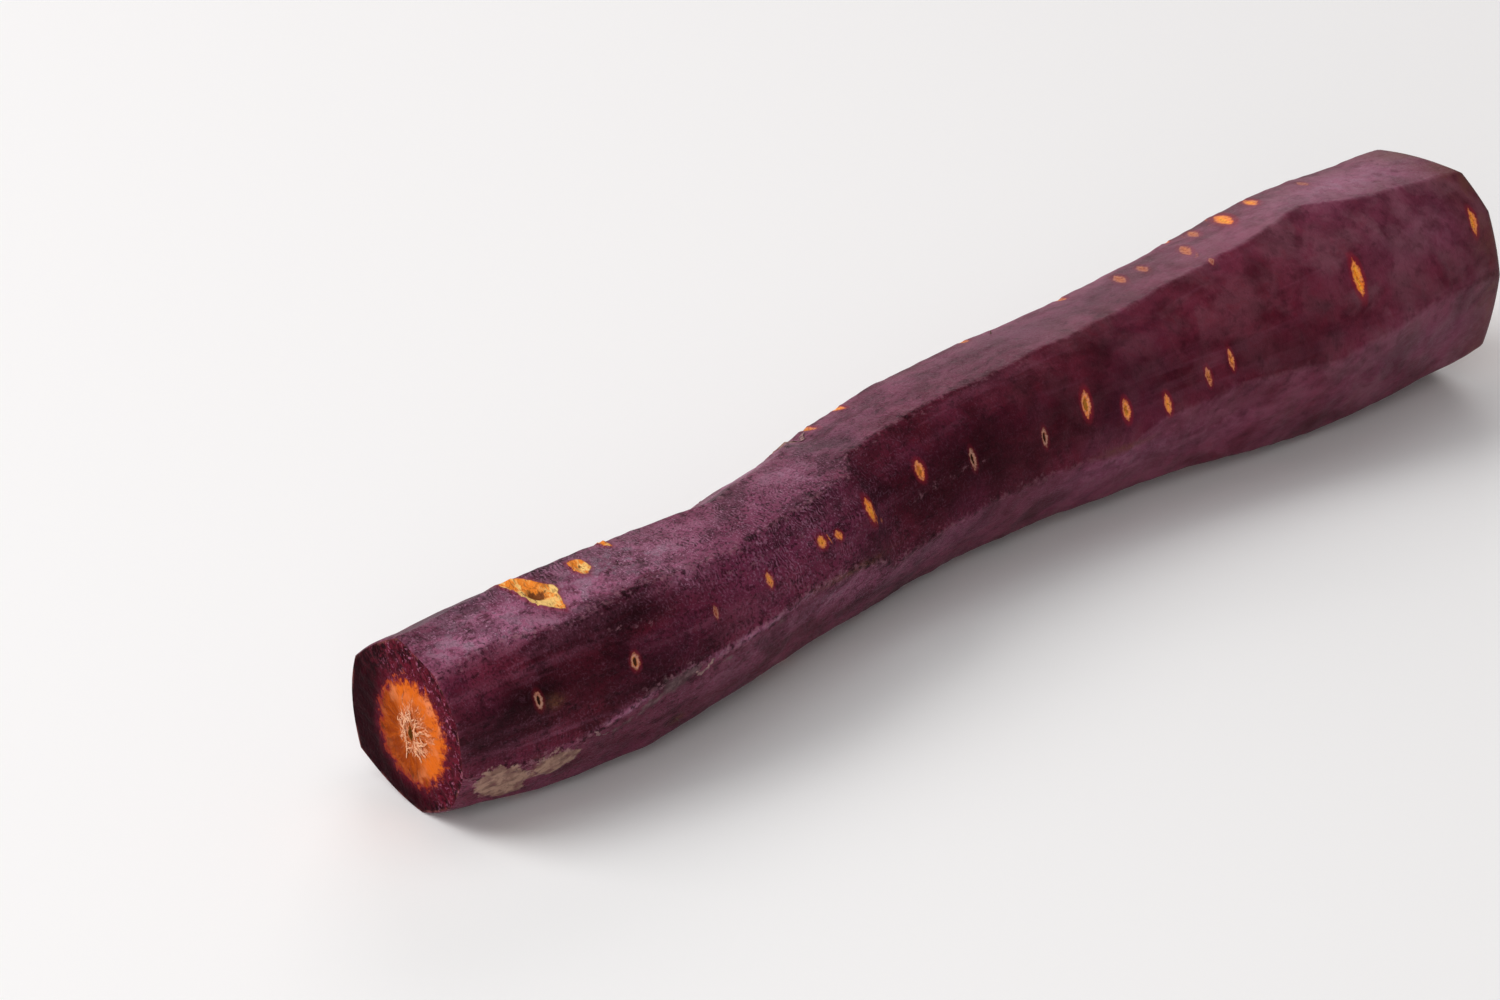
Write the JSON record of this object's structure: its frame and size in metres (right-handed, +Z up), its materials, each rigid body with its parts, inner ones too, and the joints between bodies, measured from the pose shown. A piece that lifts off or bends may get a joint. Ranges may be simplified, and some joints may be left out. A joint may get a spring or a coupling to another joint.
{
  "type": "purple carrot",
  "caption": "Peeled purple carrot root lying on its side, long and gently bent, cut flat at the thin end and at the crown, with long peeling facets and pale side-root scars.",
  "frame": {"origin": "middle of the root's box at the height of the surface that it rests on", "axes": "+X along the root from the cut thin end to the crown, -Y the side that faces the viewer, +Z up"},
  "size_m": [0.182, 0.0346, 0.0327],
  "materials": {
    "peeled_root": "dark purple peeled root skin, slightly moist, with orange flesh on the cut ends"
  },
  "bodies": {
    "root": {"carrot": "peeled_root"}
  },
  "joints": []
}
